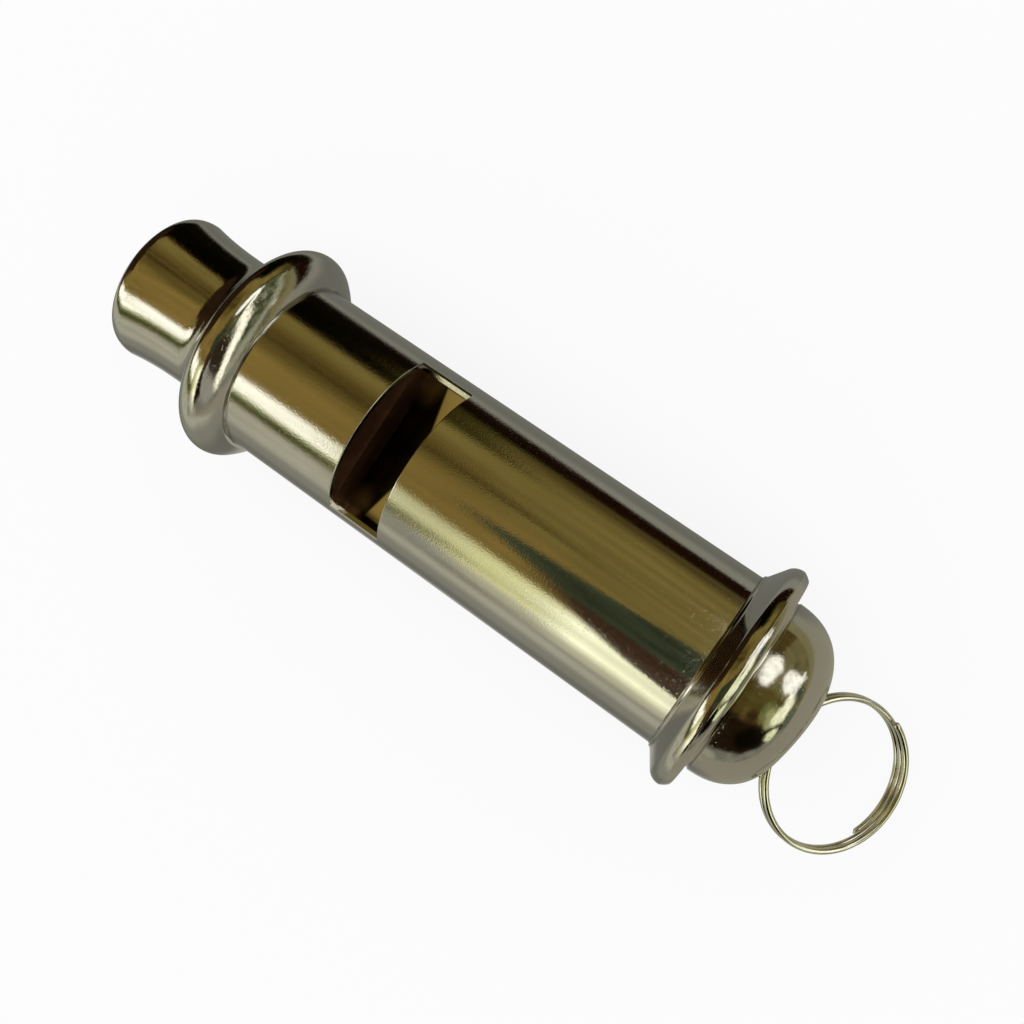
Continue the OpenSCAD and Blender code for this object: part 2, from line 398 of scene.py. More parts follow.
def disc(under, colour, from_end, turn_at, size, soft):
    """A soft round field, from_end degrees off the +X end in the direction turn_at."""
    a, t = math.radians(from_end), math.radians(turn_at)
    middle = (math.cos(a), math.sin(a) * math.sin(t), math.sin(a) * math.cos(t))
    dot = {"operation": "DOT_PRODUCT"}
    near = g.node("ShaderNodeVectorMath", dot, {0: calm, 1: middle}, out=1)
    rim, core = (math.cos(math.radians(size + more)) for more in (soft, -soft))
    return g.blend(g.step(near, rim, core), under, colour)


# %% Fields of the dome
BACK_WALL = (0.215, 0.172, 0.047)
# Each row: colour; from and to round the axis and softness, in degrees; from and to
# along the axis and softness, in millimetres. A later row lies over the earlier ones.
FIELDS = [
    # Golden wall above the tube, and the dark line beside it
    ((0.270, 0.190, 0.050), -36, 10, 6, -190, 20, 30),
    ((0.250, 0.180, 0.050), -36, 4, 6, 20, 999, 30),
    ((0.140, 0.100, 0.024), 10, 44, 9, -400, -30, 20),
    ((0.040, 0.028, 0.007), 21, 26, 3, -400, 20, 40),
    ((0.055, 0.040, 0.010), 31, 34, 2, -400, -70, 40),
    # Dark wall on the far side
    ((0.028, 0.014, 0.005), 60, 200, 3, -190, -62, 8),
    ((0.0014, 0.0014, 0.0005), 64, 104, 3, -190, -66, 5),
    ((0.036, 0.030, 0.006), 63, 100, 6, -66, -25, 12),
    ((0.075, 0.054, 0.016), 78, 90, 7, -20, 400, 12),
    ((0.010, 0.0026, 0.0006), 90, 200, 4, -40, 400, 12),
    # Pale card on the near side
    ((0.52, 0.53, 0.43), -200, -70, 6, -400, -62, 12),
    ((0.32, 0.33, 0.29), -200, -68, 6, -60, -22, 12),
    ((0.40, 0.41, 0.34), -200, -68, 6, -20, 400, 12),
    # Window light, whose height and colour change along the whistle
    ((0.075, 0.090, 0.030), -69, -58, 3, -400, -70, 10),
    ((0.50, 0.55, 0.30), -58, -46, 3, -400, -66, 10),
    ((1.62, 1.66, 1.50), -54, -36, 3, -400, -66, 10),
    ((0.26, 0.26, 0.13), -68, -54, 4, -72, -26, 10),
    ((0.66, 0.67, 0.40), -56, -37, 5, -72, -26, 10),
    ((0.66, 0.66, 0.50), -82, -66, 4, -28, 10, 10),
    ((0.86, 0.88, 0.46), -68, -37, 4, -28, 10, 10),
    ((0.80, 0.83, 0.60), -84, -70, 4, 10, 84, 10),
    ((1.45, 1.52, 1.15), -74, -37, 4, 10, 84, 10),
    # Brown wall behind the mouthpiece
    ((0.040, 0.020, 0.009), -65, 100, 8, -400, -215, 8),
    ((0.026, 0.014, 0.006), -14, 116, 8, -400, -178, 8),
    # What the end cap faces
    ((0.085, 0.060, 0.015), -36, 100, 8, 78, 138, 8),
    ((0.016, 0.009, 0.004), -80, -24, 6, 88, 400, 8),
    ((0.106, 0.085, 0.020), -16, 24, 8, 120, 400, 20),
    ((0.190, 0.170, 0.075), 24, 120, 8, 138, 400, 10),
    ((0.240, 0.245, 0.200), -200, -76, 5, 138, 400, 10),
]

# %% Discs of the dome, which the end cap shows
# Each row: colour; degrees from the +X end, direction round the axis, size, softness
DISCS = [
    # Dark and brown patches
    ((0.004, 0.003, 0.0015), 51, -50, 13, 4),
    ((0.004, 0.003, 0.0015), 37, -54, 12, 4),
    ((0.045, 0.022, 0.009), 60, -18, 8, 6),
    # Green-white lights near the end
    ((0.20, 0.22, 0.08), 44, -6, 8, 6),
    ((0.42, 0.45, 0.22), 32, -12, 9, 5),
    ((1.10, 1.20, 0.78), 20, -55, 7, 3),
    ((1.28, 1.36, 0.98), 21, -5, 9, 4),
    ((1.38, 1.42, 1.15), 22, 38, 8, 3),
    # White lamps
    ((1.50, 1.54, 1.50), 42, 48, 12, 2),
    ((1.45, 1.50, 1.45), 31, 60, 6, 3),
    ((1.45, 1.50, 1.45), 33, 78, 4, 2),
    ((0.11, 0.10, 0.035), 49, 67, 5, 4),
    ((0.070, 0.085, 0.070), 20, 70, 7, 3),
    ((1.50, 1.54, 1.50), 71, 30, 10, 2),
    ((1.50, 1.54, 1.50), 71, 44, 10, 2),
    ((0.70, 0.72, 0.55), 62, -67, 1.5, 1.0),
    # Grey-green middle
    ((0.12, 0.147, 0.11), 2, 0, 7, 4),
]

# %% Paint the dome
painted = BACK_WALL
for row in FIELDS:
    painted = field(painted, *row)
for row in DISCS:
    painted = disc(painted, *row)
g.end(g.shine(g.mottle(painted, g.noise(streaks, 9.0, 4.0), 0.80, 1.18)))
dome.data.materials.append(dome_material)
print("studio dome with", len(FIELDS), "fields and", len(DISCS), "discs")

# %% [markdown]
# ## Cards close to the whistle
# What lies under the whistle or stands beside the lens is so close that its reflection
# slides along the tube. A field on the dome is too far off for that, so these are flat
# cards close to the whistle. One more stands across the tube, for the back of the bead.

# %% Ground card
FLOOR_Z = -11.55 * MM
CARD_LIFT = 0.05 * MM
GROUND_HALF = 0.34
span = np.linspace(-GROUND_HALF, GROUND_HALF, 3)
ground_x, ground_y = np.meshgrid(span + DOME_X, span, indexing="ij")
ground_points = np.stack([ground_x, ground_y, 0 * ground_x + FLOOR_Z + CARD_LIFT], -1)
ground = mesh_object("ground_card", ground_points, grid_faces(3, 3, wrap_columns=False))
only_reflections(ground)

# %% Greys of the ground card
# The closest grey is painted shade: the ground card darkens within 22 to 34 mm of the whistle's
# axis, for the floor shaded round the whistle.
GREY_CLOSE_SHADE, GREY_NEAR, GREY_FAR = (0.19, 0.195, 0.175), (0.29, 0.295, 0.255), (0.50, 0.51, 0.43)
GREY_STRIP = (0.46, 0.46, 0.43)
GREY_END, GOLD_END = (0.33, 0.32, 0.255), (0.25, 0.23, 0.12)
BLACK_MOUTH, BLACK_TUBE = (0.004, 0.003, 0.001), (0.012, 0.004, 0.0015)
# The grey's edges waver by up to this much, and the black starts farther out towards +X
RIPPLE, EDGE_SLANT = 6, 0.21

ground_material, g = new_material("ground_card_grey")
x_at, y_at, _ = g.parts(g.place())
along_mm = x_at * PER_MM
side_mm = y_at * PER_MM + (g.noise(g.place(), 60.0) - 0.5) * RIPPLE
edge_mm = side_mm - x_at * (EDGE_SLANT * PER_MM)
beyond = g.step(along_mm, 70.0, 80.0)
grey = g.blend(g.step(abs(side_mm), 40.0, 90.0), GREY_NEAR, GREY_FAR)
# Painted shade close to the whistle's axis.
grey = g.blend(g.step(abs(side_mm), 22.0, 34.0), GREY_CLOSE_SHADE, grey)
grey = g.blend(g.band(side_mm, -15.5, 0.0, 2.5) * (1 - beyond), grey, GREY_STRIP)
black = g.blend(g.step(along_mm, -10.0, 30.0), BLACK_MOUTH, BLACK_TUBE)
grey = g.blend(g.step(edge_mm, 31.0, 41.0) * (1 - beyond), grey, black)
grey = g.blend(beyond, grey, GREY_END)
grey = g.blend(g.step(side_mm, 45.0, 65.0) * beyond, grey, GOLD_END)
g.end(g.shine(grey))
ground.data.materials.append(ground_material)

# %% Cards at the height of the lens
LENS_HEIGHT = 0.1013
DARK_CARD, RED_CARD = (0.043, 0.056, 0.031), (0.054, 0.029, 0.018)


def near_card(name, corners, colour):
    """A flat card through corners (x, y) in millimetres, with a mottled colour."""
    points = np.array([[x * MM, y * MM, LENS_HEIGHT] for x, y in corners])
    card = mesh_object(name, points, np.arange(len(corners))[None, :])
    only_reflections(card)
    material, g = new_material(name)
    g.end(g.shine(g.mottle(colour, g.noise(g.place(), 60.0, 4.0), 0.6, 1.45)))
    card.data.materials.append(material)


near_card("dark_card", [(17, -12), (36, -42), (75, -44), (75, 18)], DARK_CARD)
near_card("red_card", [
    (34, -41), (39, -66), (52, -108), (75, -131), (75, -44), (36, -42)], RED_CARD)

# %% Card across the tube, which only the back of the bead faces
BEAD_CARD_X = 0.0683
BEAD_CARD_Y, BEAD_CARD_Z = np.array([-80, 150]) * MM, np.array([12, 78]) * MM
card_y, card_z = np.meshgrid(BEAD_CARD_Y, BEAD_CARD_Z, indexing="ij")
card_points = np.stack([0 * card_y + BEAD_CARD_X, card_y, card_z], -1)
card_faces = grid_faces(2, 2, wrap_columns=False)[..., ::-1]
bead_card = mesh_object("bead_card", card_points, card_faces)
only_reflections(bead_card)

# %% Light strip and shades of the bead's card
# The strip of light lies across this direction in y and z, so many millimetres along it
STRIP_WAY, STRIP_AT = (-0.385, 0.923), 33.9
STRIP_LIGHT, PATCH_BROWN = (1.55, 1.58, 1.36), (0.035, 0.024, 0.014)
SPECK_DARK, SPECK_LIGHT = (0.060, 0.072, 0.030), (0.46, 0.48, 0.34)
GREY_LOW, GREY_SIDE = (0.40, 0.41, 0.31), (0.37, 0.375, 0.33)

bead_material, g = new_material("bead_card")
_, y_at, z_at = g.parts(g.warp(g.place(), g.place(), 25.0, 4 * MM))
side_mm = y_at * PER_MM
across = y_at * (STRIP_WAY[0] * PER_MM) + z_at * (STRIP_WAY[1] * PER_MM) - STRIP_AT
speckle = g.step(g.noise(g.place(), 130.0, 4.0), 0.52, 0.66)
shade = g.blend(speckle, SPECK_DARK, SPECK_LIGHT)
shade = g.blend(1 - g.step(z_at * PER_MM, 16.0, 24.0), shade, GREY_LOW)
patch = g.step(across, 8.0, 12.0) * (1 - g.step(side_mm, -8.0, 2.0))
shade = g.blend(patch, shade, PATCH_BROWN)
shade = g.blend(g.band(across, -6.0, 7.0, 1.5), shade, STRIP_LIGHT)
shade = g.blend(1 - g.step(side_mm, -52.0, -38.0), shade, GREY_SIDE)
clear = g.node("ShaderNodeBsdfTransparent")
backfacing = g.node("ShaderNodeNewGeometry", out=6)
g.end(g.mix_surfaces(backfacing, g.shine(shade), clear))
bead_card.data.materials.append(bead_material)

# %% [markdown]
# ## Floor, world and lamp
# The whistle lies on white paper under an even light. More light could whiten the paper,
# but it would wash out the metal too. So floor and world are white to the camera by
# their own shine, and the paper under that still darkens a little where the whistle keeps
# the light off it, so a faint contact shadow stays.

# %% Floor
FLOOR_HALF = 2
PAPER, WHITE = (0.93, 0.93, 0.93), (1.0, 1.0, 1.0)
PAPER_SHINE = 0.85
span = np.linspace(-FLOOR_HALF, FLOOR_HALF, 5)
floor_x, floor_y = np.meshgrid(span, span, indexing="ij")
floor_points = np.stack([floor_x, floor_y, 0 * floor_x + FLOOR_Z], -1)
floor = mesh_object("floor", floor_points, grid_faces(5, 5, wrap_columns=False))
floor_material, g = new_material("floor_paper")
paper = g.node("ShaderNodeBsdfDiffuse", None, {"Color": PAPER})
g.end(g.mix_surfaces(g.plain_rays() * PAPER_SHINE, paper, g.shine(WHITE)))
floor.data.materials.append(floor_material)

# %% World
SKY, SKY_LIGHT = (0.98, 0.99, 1.0), 0.85
world = bpy.data.worlds.new("studio")
world.use_nodes = True
bpy.context.scene.world = world
g = Surfaces(world.node_tree)
sky = g.node("ShaderNodeBackground", None, {"Color": SKY, "Strength": SKY_LIGHT})
white = g.node("ShaderNodeBackground", None, {"Color": WHITE, "Strength": 1.0})
g.end(g.mix_surfaces(g.plain_rays(), sky, white), "ShaderNodeOutputWorld")

# %% Lamp
LAMP_AT, LAMP_SIZE, LAMP_WATTS = (-0.05, -0.15, 0.6), 0.5, 0.5
LAMP_LEAN = (math.radians(-14), math.radians(-9), 0)
lamp_data = bpy.data.lights.new("soft_lamp", "AREA")
lamp_data.shape = "DISK"
lamp_data.size = LAMP_SIZE
lamp_data.energy = LAMP_WATTS
lamp = bpy.data.objects.new("soft_lamp", lamp_data)
bpy.context.scene.collection.objects.link(lamp)
lamp.location = LAMP_AT
lamp.rotation_euler = LAMP_LEAN
lamp.visible_glossy = False
print("world, lamp and floor set, floor at", FLOOR_Z)

# %% [markdown]
# ## Nickel plating
# Bright nickel is a warm grey mirror. A real one is never perfect: the polishing wheel
# leaves a faint long wave, the plating bath leaves fine pits, and fingers leave a haze.
# They could be modelled, but they are far too small, so the wave and the pits are bumps,
# and the haze is a change of roughness.

# %% Nickel
NICKEL_WARM, NICKEL_DULL = (0.67, 0.63, 0.56), (0.64, 0.60, 0.52)
WORN_TO, FRESH_FROM, FRESHNESS = 40.0, 60.0, 0.72


def nickel_material(name, wave, grain, specks, rough):
    """Cloudy roughness, and a height of wave + grain + specks in millimetres.

    The grain is strongest at the mouth, where use has worn the plating.
    """
    material, g = new_material(name)
    cloud = g.noise(g.place(), 160.0, 3.0)
    long_wave = g.noise(g.place((0.35, 1, 1)), 140.0, 1.0)
    fine = g.noise(g.place(), 6000.0)
    pits = g.step(g.noise(g.place(), 3600.0), 0.62, 0.72)
    tint = g.blend(g.step(cloud, 0.35, 0.7), NICKEL_WARM, NICKEL_DULL)
    along_mm = g.parts(g.place())[0] * PER_MM
    worn = 1 - g.step(along_mm, WORN_TO, FRESH_FROM) * FRESHNESS
    height = long_wave * wave + fine * worn * grain + pits * specks
    roughness = g.step(cloud, 0.3, 0.8) * 0.05 + rough
    g.end_as_metal(tint, roughness, g.bump(height, MM))
    return material


nickel = nickel_material("nickel_plating", 0.008, 0.0105, 0.0025, 0.08)
nickel_cast = nickel_material("nickel_plating_turned", 0.014, 0.0065, 0.003, 0.07)
print("two nickel finishes, for drawn and for turned pieces")

# %% [markdown]
# ## Duller metals
# Inside, the brass is mottled and darkened as painted shade, the plug is reddish from heat,
# and the solder and the ring's steel have a fine grain. One function gives them all, as two
# tones in clouds over a grained bump. The divider needs its own: it is painted near black as
# shade, with a painted olive glow near the plug, and painted reflections of light at the
# window's far corners. The divider needs its own: it is black with stain, and bright only
# at the window's far corners, where polish could reach it.

# %% Brass, solder and steel
GRAIN_FINENESS = 14


def metal_material(name, light, dark, rough, scale):
    """Two tones in clouds of a scale, and an even grain that is 14 times finer."""
    material, g = new_material(name)
    cloud = g.noise(g.place(), scale, 4.0)
    grain = g.noise(g.place(), scale * GRAIN_FINENESS)
    tint = g.blend(g.step(cloud, 0.35, 0.65), light, dark)
    g.end_as_metal(tint, cloud * 0.15 + rough, g.bump(grain, 0.003 * MM))
    return material


# The brass inside is darkened far below bare brass: painted shade for the inside of the tube, in
# two mottled tones.
brass = metal_material("brass_inside_painted_shade", (0.14, 0.10, 0.045), (0.05, 0.034, 0.016), 0.12, 300.0)
plug_brass = metal_material("brass_plug", (0.55, 0.28, 0.16), (0.36, 0.17, 0.10), 0.38, 300.0)
solder = metal_material("solder_line", (0.55, 0.52, 0.46), (0.30, 0.28, 0.24), 0.16, 900.0)
steel = metal_material("ring_steel", (0.94, 0.91, 0.80), (0.76, 0.72, 0.60), 0.05, 500.0)

# %% Divider brass, with painted shade, a painted glow and painted corner glints
# The first two are painted shade for the inside of the tube, in two mottled tones; the next is a
# painted olive glow, and the bright brass is painted light reflected at the window's far
# corners.
SHADE_BROWN, SHADE_BLACK = (0.030, 0.022, 0.010), (0.012, 0.008, 0.004)
OLIVE_GLOW, CORNER_GLINT = (0.22, 0.19, 0.11), (0.90, 0.84, 0.70)
CORNER_SLANT = 0.23


def shaded_divider_material():
    """Brass painted near black as shade, with a painted olive glow, and two corners painted
    bright as reflected light, whose edge is x + 0.23 |y| = 33 mm.
    """
    material, g = new_material("brass_divider_painted_light")
    cloud = g.noise(g.place(), 300.0, 4.0)
    along_mm, side_mm, _ = g.parts(g.place((PER_MM,) * 3))
    off_middle = abs(side_mm)
    # Painted light: bright corners past the slanted edge, as the window's light reflected there,
    # and an olive glow 4 to 6.5 mm off the middle, short of x = 31 mm.
    past_edge = g.step(along_mm + off_middle * CORNER_SLANT, 33.0, 33.3)
    glint_corners = past_edge * (1 - g.step(off_middle, 7.2, 7.5))
    glow_band = g.step(off_middle, 4.0, 6.5) * (1 - g.step(along_mm, 30.4, 31.6))
    tint = g.blend(g.step(cloud, 0.35, 0.65), SHADE_BROWN, SHADE_BLACK)
    tint = g.blend(glow_band, tint, OLIVE_GLOW)
    tint = g.blend(glint_corners, tint, CORNER_GLINT)
    g.end_as_metal(tint, cloud * 0.15 + 0.15, g.bump(cloud, 0.01 * MM))
    return material


shaded_divider = shaded_divider_material()

# %% Dress the pieces inside, whose flat shapes are kept as measured
INSIDE = {
    "windway_plug": plug_brass, "chamber_divider": shaded_divider,
    "chamber_stop": brass, "end_plate": brass}
for node, material in INSIDE.items():
    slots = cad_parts[node].data.materials
    slots.clear()
    slots.append(material)
print("dressed as measured:", sorted(INSIDE))

# %% [markdown]
# ## Mouthpiece
# The real one is turned from brass rod: a barrel that flares to the lip, a hollow curve,
# a round bead and a thin socket over the tube. It could be put together from rings, but a
# lathe cuts it as one outline. So one closed outline holds all of it, inside and out, and
# is carried round a full turn.

# %% Sizes of the mouthpiece
TURN = np.linspace(0, 2 * np.pi, 256, endpoint=False)
BARREL_R, LIP_SWELL, LIP_L = 7.35, 0.50, 1.2
COVE_X, COVE_R = 8.6, 3.3
BEAD_X, BEAD_MIDDLE_R, BEAD_R = 13.7, 9.8, 1.75
FLANK_FROM, FLANK_TO = (14.87, 11.10), (16.30, 9.42)
FLANK_SWELL, FLANK_OUT = 0.11, np.array([[0.76, 0.65]])
SOCKET_END, SOCKET_EDGE, SKIRT_R, SOCKET_BREAK = 16.35, 0.12, 9.34, 0.02
SHOULDER_OUT, SHOULDER_IN, SHOULDER_BREAK = 8.9, 8.3, 0.05
BORE_R, BORE_L, BORE_EDGE, RIM_IN = 6.6, 9.0, 0.25, 6.95


# %% Outline of the mouthpiece
def mouth_outside():
    """Lip, barrel, hollow curve, bead, flank and socket.

    The lip is a quarter wave, and the barrel is BARREL_R + LIP_SWELL * t^2.6, where t
    falls from 1 at the lip to 0 at the hollow curve.
    """
    quarter = np.radians(np.linspace(0, 90, 14))
    lip_r = BARREL_R + LIP_SWELL * np.sin(quarter) ** 0.9
    lip = np.stack([LIP_L * (1 - np.cos(quarter)), lip_r], -1)
    x = np.linspace(LIP_L, COVE_X, 24)[1:-1]
    t = (COVE_X - x) / (COVE_X - LIP_L)
    barrel = np.stack([x, BARREL_R + LIP_SWELL * t ** 2.6], -1)
    flank = line(*FLANK_FROM, *FLANK_TO, 14)
    swell = FLANK_SWELL * np.sin(np.linspace(0, np.pi, 14))[:, None] * FLANK_OUT
    return np.concatenate([
        lip,
        barrel,
        arc(COVE_X, BARREL_R + COVE_R, COVE_R, -90, -25, 18),
        arc(BEAD_X, BEAD_MIDDLE_R, BEAD_R, 200, 48, 40),
        (flank + swell)[1:],
        arc(SOCKET_END - SOCKET_EDGE, SKIRT_R, SOCKET_EDGE, 45, 0, 4),
        line(SOCKET_END, SKIRT_R - 0.04, SOCKET_END, SOCKET_R + SOCKET_BREAK, 3)])


def mouth_inside():
    """Socket, the shoulder that the tube seats on, cone, bore and the bore's rounded edge."""
    return np.concatenate([
        line(SOCKET_END - SOCKET_BREAK, SOCKET_R, TUBE_X0, SOCKET_R, 10),
        line(TUBE_X0, SHOULDER_OUT, TUBE_X0, SHOULDER_IN, 3),
        line(TUBE_X0 - SHOULDER_BREAK, SHOULDER_IN - SHOULDER_BREAK, BORE_L, BORE_R, 10),
        line(BORE_L - 0.1, BORE_R, BORE_EDGE, BORE_R, 22),
        arc(BORE_EDGE, BORE_R + BORE_EDGE, BORE_EDGE, -100, -170, 5),
        line(0.0, RIM_IN, 0.0, BARREL_R, 3)])


# %% Mouthpiece
profile = np.concatenate([mouth_outside(), mouth_inside()]) * MM
points = turned_points(profile[:, :1], profile[:, 1:], TURN)
mouth = mesh_object("mouthpiece_skin", points, grid_faces(*points.shape[:2], wrap_rows=True), 30)
mouth.data.materials.append(nickel_cast)
print_difference(mouth, "mouthpiece")
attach(mouth, "whistle")
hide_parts("mouthpiece")

# %% [markdown]
# ## Body tube
# A drawn tube with a window sawn flat through the top and the bottom, and the sawn edge
# broken with a file. A Boolean cut would leave long thin faces that a mirror finish
# shows. So the grid has lines that lie exactly on the window's edges, closer together
# near them, and the cells inside the window are left out.

# %% Sizes of the body tube
BORE_WALL_R = 8.45
WINDOW_X0, WINDOW_X1 = 29.3, 35.0
WINDOW_H, WINDOW_H_INSIDE = 4.15, 3.93
FILED_EDGE = 0.10
WINDOW_COLUMNS, SIDE_COLUMNS = 96, 48
CLOSE_LINES = np.array([0.02, 0.05, 0.09, 0.14, 0.2, 0.3, 0.45])


# %% Grid lines of the body tube
def edge_lines(a, b, count, close_to_a, close_to_b):
    """Places from a to b, with extra ones close to each end that is a window's edge."""
    near_a = a + CLOSE_LINES if close_to_a else []
    near_b = b - CLOSE_LINES if close_to_b else []
    return np.unique(np.round(np.concatenate([np.linspace(a, b, count), near_a, near_b]), 5))


tube_lines = np.unique(np.concatenate([
    edge_lines(TUBE_X0, WINDOW_X0, 40, False, True),
    edge_lines(WINDOW_X0, WINDOW_X1, 16, True, True),
    edge_lines(WINDOW_X1, TUBE_X1, 70, True, False)]))


def window_angles(radius, height):
    """Angles whose lines meet the cut, at acos(height / radius) on each side of a window.

    Each skin has the same count, so that they can be joined.
    """
    half = math.acos(height / radius)
    top = np.linspace(-half, half, WINDOW_COLUMNS + 1)
    side = np.linspace(half, np.pi - half, SIDE_COLUMNS + 1)[1:-1]
    return np.concatenate([top, side, top + np.pi, side + np.pi])


print("body tube with", len(tube_lines), "lines round it")


# %% Skins of the body tube
def tube_skin(radius, height, rounding=0.0):
    """A cylinder that rolls over by a small radius next to the window.

    At a distance d from the window, inside the rounding R, the skin drops by
    R - sqrt(R^2 - (R - d)^2).
    """
    angles = window_angles(radius, height)
    off_along = np.maximum(np.maximum(WINDOW_X0 - tube_lines, tube_lines - WINDOW_X1), 0)
    off_side = np.maximum(height - np.abs(np.cos(angles)) * radius, 0)
    d = np.hypot(off_along[:, None], off_side)
    roll = np.clip(rounding - d, 0, rounding)
    drop = rounding - np.sqrt(np.maximum(rounding**2 - roll**2, 0))
    return turned_points(tube_lines[:, None], radius - drop, angles) * MM


outer = tube_skin(TUBE_R, WINDOW_H, FILED_EDGE)
inner = tube_skin(BORE_WALL_R, WINDOW_H_INSIDE)
middle_x = (tube_lines[1:] + tube_lines[:-1]) / 2
in_length = (middle_x > WINDOW_X0) & (middle_x < WINDOW_X1)
column = np.arange(outer.shape[1]) % (WINDOW_COLUMNS + SIDE_COLUMNS)
keep = ~(in_length[:, None] & (column < WINDOW_COLUMNS))
tube = wall_object("tube_skin", outer, inner, keep, 40)
tube.data.materials.append(nickel)
print_difference(tube, "body_tube")
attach(tube, "whistle")
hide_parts("body_tube")

# %% [markdown]
# ## End cap
# Pressed from sheet: a socket over the tube, a flared brim, and a hollow dome whose tip
# is flattened and drilled for the ring. The flat could be cut off, but a press leaves a
# soft edge, so a point that would stand past the flat is brought back to it by a smooth
# step. Cells inside a hole are left out, and the points next to it are moved onto the
# hole's wall, which makes its rim round.

# %% Sizes of the end cap
CAP_X0, CAP_WALL = 65.9, 0.45
# Points (x, r) of the skirt, from the socket's edge to where the brim begins
SKIRT = [(CAP_X0, 9.06), (CAP_X0, 9.16), (65.94, 9.22), (66.1, 9.30), (66.2, 9.38)]
DOME_FOOT_X, DOME_FOOT_R, DOME_H, FULLNESS = 69.4, 8.95, 6.95, 2.5
# Arcs of the brim, each as the middle's x and r, and the radius
BRIM_FLANK, BRIM_CREST = (68.45, 10.0, 1.5), (67.524, 9.233, 2.5)
BRIM_EDGE, BRIM_HOLLOW = (69.018, 10.779, 0.35), (69.75, 9.20, 0.4)
TIP_H, TIP_SOFT = 6.65, 0.16
LEAN, TIP_TURN = math.radians(7), math.radians(11.5)
HOLE_R, HOLE_LEAN, HOLE_OFF = 1.8, math.radians(52), 2.9
HOLE_END, HOLE_WALL_END = -3.7, -3.9
CAP_COLUMNS = 288


# %% Outline of the end cap
def full_dome(a, height, radius):
    """A full-shouldered ellipse, p = 2 / FULLNESS: x = height sin(a)^p, r = radius cos(a)^p."""
    x = DOME_FOOT_X + height * np.sin(a) ** (2 / FULLNESS)
    r = radius * np.abs(np.cos(a)) ** (2 / FULLNESS)
    return np.stack([x, r], -1)


def cap_outlines():
    """Outer and inner outline with as many points: socket, brim and dome; socket, hollow."""
    steps = np.radians(np.linspace(2, 90, 100))
    brim = np.concatenate([
        arc(*BRIM_FLANK, 140, 84, 14), arc(*BRIM_CREST, 64, 46, 7), arc(*BRIM_EDGE, 40, 0, 7)])
    outside = np.concatenate([
        line(*SKIRT[0], *SKIRT[1], 3),
        line(*SKIRT[2], *SKIRT[3], 4),
        line(*SKIRT[4], *brim[0], 12)[:-1],
        brim,
        arc(*BRIM_HOLLOW, 180, 262, 8),
        full_dome(steps, DOME_H, DOME_FOOT_R)])
    seat_rows = 6
    socket_rows = len(outside) - len(steps) - seat_rows
    hollow_r = DOME_FOOT_R - CAP_WALL
    inside = np.concatenate([
        line(CAP_X0 + SOCKET_BREAK, SOCKET_R, TUBE_X1, SOCKET_R, socket_rows),
        line(TUBE_X1, SHOULDER_OUT, TUBE_X1, hollow_r, seat_rows),
        full_dome(steps, DOME_H - CAP_WALL, hollow_r)])
    return outside, inside


# %% Directions at the tip
UP = np.array([0.0, 0.0, 1.0])
SIDE = np.array([math.sin(LEAN), math.cos(LEAN), 0.0])
TIP_OUT = np.array([math.cos(LEAN), -math.sin(LEAN), 0.0])
TIP_ACROSS = SIDE * math.cos(TIP_TURN) - UP * math.sin(TIP_TURN)
TIP = np.array([DOME_FOOT_X, 0, 0]) + TIP_H * TIP_OUT
print("flat of the tip at", np.round(TIP, 2), "facing", np.round(TIP_OUT, 3))


# %% Helpers for the tip
def flatten_tip(points, depth):
    """A height s over the flat becomes -soft * log(1 + exp(-s / soft)).

    That follows s well below the flat and stops at it above.
    """
    s = (points - TIP) @ TIP_OUT + depth
    flat = -TIP_SOFT * np.logaddexp(0, -s / TIP_SOFT)
    return points + (flat - s)[..., None] * TIP_OUT


def hole_distance(points, side):
    """Distance from a hole's middle line, the way out from it, and the place along it."""
    across = side * TIP_ACROSS
    out = math.cos(HOLE_LEAN) * TIP_OUT + math.sin(HOLE_LEAN) * across
    start = TIP + HOLE_OFF * (math.cos(HOLE_LEAN) * across - math.sin(HOLE_LEAN) * TIP_OUT)
    from_start = points - start
    place = from_start @ out
    away = from_start - place[..., None] * out
    far = np.linalg.norm(away, axis=-1)
    return far, away / np.maximum(far, 1e-9)[..., None], place


# %% End cap
cap_turn = np.linspace(0, 2 * np.pi, CAP_COLUMNS, endpoint=False)
outside, inside = cap_outlines()
outer = flatten_tip(turned_points(outside[:, :1], outside[:, 1:], cap_turn), 0.0)
inner = flatten_tip(turned_points(inside[:, :1], inside[:, 1:], cap_turn), CAP_WALL)
gone = np.zeros((len(outside) - 1, CAP_COLUMNS), bool)
for side in (-1, 1):
    far, way, place = hole_distance(outer, side)
    in_hole = (far < HOLE_R) & (place > HOLE_END)
    both_rows = in_hole[:-1] & in_hole[1:]
    gone |= both_rows & np.roll(both_rows, -1, axis=1)
    for skin in (outer, inner):
        far, way, place = hole_distance(skin, side)
        pushed = (in_hole | (far < HOLE_R)) & (place > HOLE_WALL_END)
        skin += np.where(pushed, HOLE_R - far, 0)[..., None] * way
cap = wall_object("cap_skin", outer * MM, inner * MM, ~gone, 32)
cap.data.materials.append(nickel_cast)
print_difference(cap, "end_cap")
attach(cap, "whistle")
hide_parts("end_cap")

# %% [markdown]
# ## Solder lines
# A thin line of solder closes both seams. It is a small uneven ridge, as solder draws in
# by itself. A bump could hint at it, but the seam is seen from the side too, so it is a
# real ridge, whose height follows a sum of sines round the tube.

# %% Solder lines
# Size, count round the tube and shift of each wave
SEAM_WAVES = ((0.12, 7, 1), (0.10, 17, 0), (0.06, 41, 2))
SEAM_FOOT_R = TUBE_R - 0.01


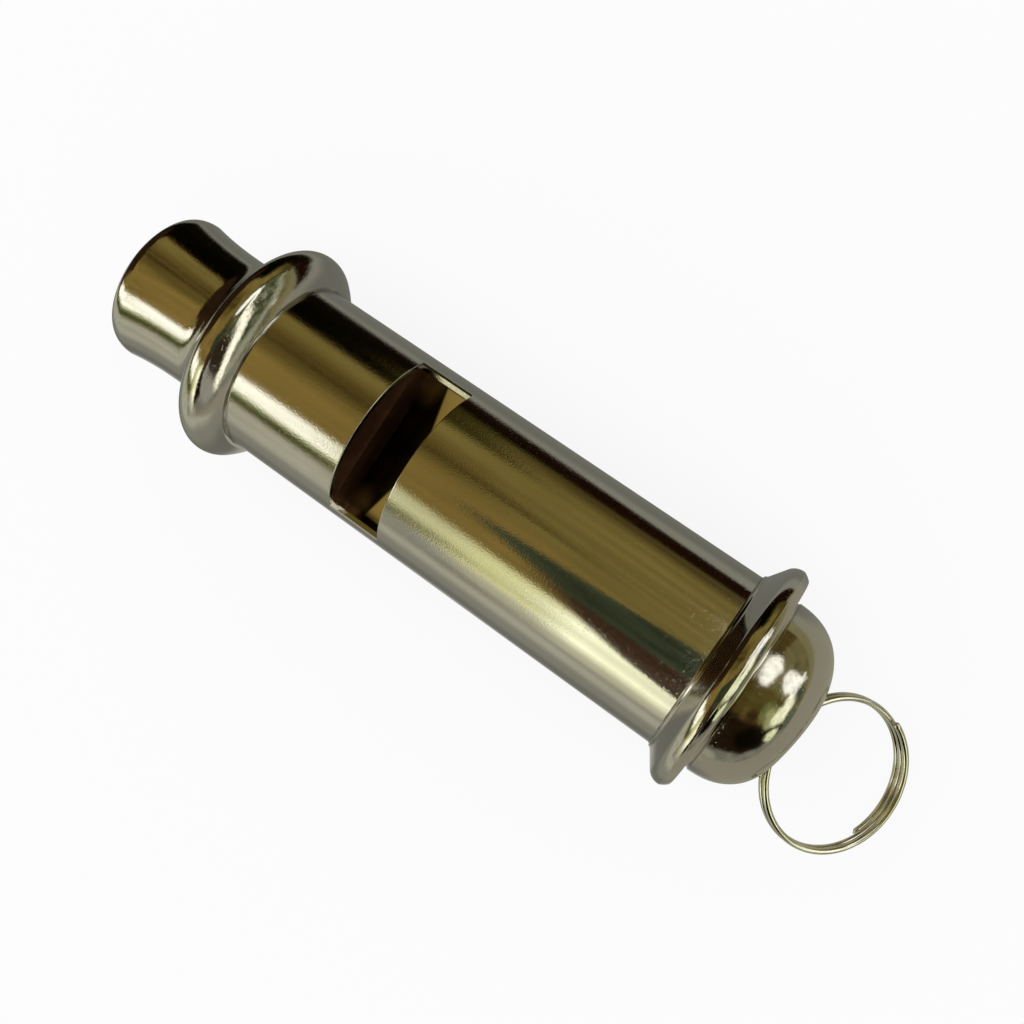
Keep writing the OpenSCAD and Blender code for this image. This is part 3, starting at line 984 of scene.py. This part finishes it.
def solder_ring(name, x_wall, x_foot, height, node):
    """A ridge from the wall down to the tube: r = tube + height * 0.8 * (1 - t)^1.5 * wave."""
    wave = 1 + sum(size * np.sin(count * TURN + shift) for size, count, shift in SEAM_WAVES)
    t = np.linspace(0, 1, 6)[:, None]
    x = x_wall + (x_foot - x_wall) * t * (0.8 + 0.15 * wave)
    r = TUBE_R + height * 0.8 * (1 - t) ** 1.5 * np.minimum(wave, 1.2)
    top = turned_points(x, r, TURN)
    low = turned_points(x, SEAM_FOOT_R + 0 * t, TURN)[::-1]
    ridge = np.concatenate([top, low])
    if x_foot < x_wall:
        ridge = ridge[::-1]
    made = mesh_object(name, ridge * MM, grid_faces(*ridge.shape[:2], wrap_rows=True), 60)
    made.data.materials.append(solder)
    print_difference(made, node)
    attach(made, "whistle")
    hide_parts(node)


solder_ring("mouth_seam", SOCKET_END, SOCKET_END + 0.2, 0.13, "mouth_solder")
solder_ring("cap_seam", CAP_X0, CAP_X0 - 0.16, 0.09, "cap_solder")

# %% [markdown]
# ## Split ring
# Spring steel wire wound for two turns and a bit. It could be a curve with a bevel, but
# a grid gives rounded ends as well: a circle is carried along a flat coil, and it closes
# like a ball at each end.

# %% Split ring
RING_MIDDLE = np.array([80.876, -2.176, -3.739])
RING_RIGHT = np.array([0.8289, -0.2082, -0.5193])
RING_FAR = np.array([0.11942, 0.97262, -0.19937])
RING_AXIS = np.array([0.54657, 0.10323, 0.83102])
RING_TURNS, RING_START, RING_R = 2.29, 84.0, 7.25
WIRE_R, TURN_RISE = 0.3, 0.63
COIL_STEPS, WIRE_SIDES = 300, 14


def coil_surface():
    """Wire round (R cos a, R sin a, rise * (middle - turn)), with ends closed like a ball."""
    turn = np.linspace(0, RING_TURNS, COIL_STEPS)[:, None]
    a = np.radians(RING_START - 360 * turn)
    b = np.linspace(0, 2 * np.pi, WIRE_SIDES, endpoint=False)[None, :]
    from_end = np.minimum(turn, RING_TURNS - turn) * 2 * np.pi * RING_R
    short_of_ball = np.clip(1 - from_end / WIRE_R, 0, 1)
    r = WIRE_R * np.sqrt(np.clip(1 - short_of_ball**2, 1e-9, 1))
    out = RING_R + r * np.cos(b)
    middle_turn = (RING_START + 180) / 360 + 0.5
    rise = TURN_RISE * (middle_turn - turn) + r * np.sin(b)
    flat = (out * np.cos(a))[..., None] * RING_RIGHT + (out * np.sin(a))[..., None] * RING_FAR
    return flat + rise[..., None] * RING_AXIS + RING_MIDDLE


coil = coil_surface() * MM
ring_faces = grid_faces(*coil.shape[:2])
ring = mesh_object("ring_wire", coil, ring_faces[..., ::-1], 60)
ring.data.materials.append(steel)
print_difference(ring, "split_ring")
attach(ring, "ring")
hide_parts("split_ring")
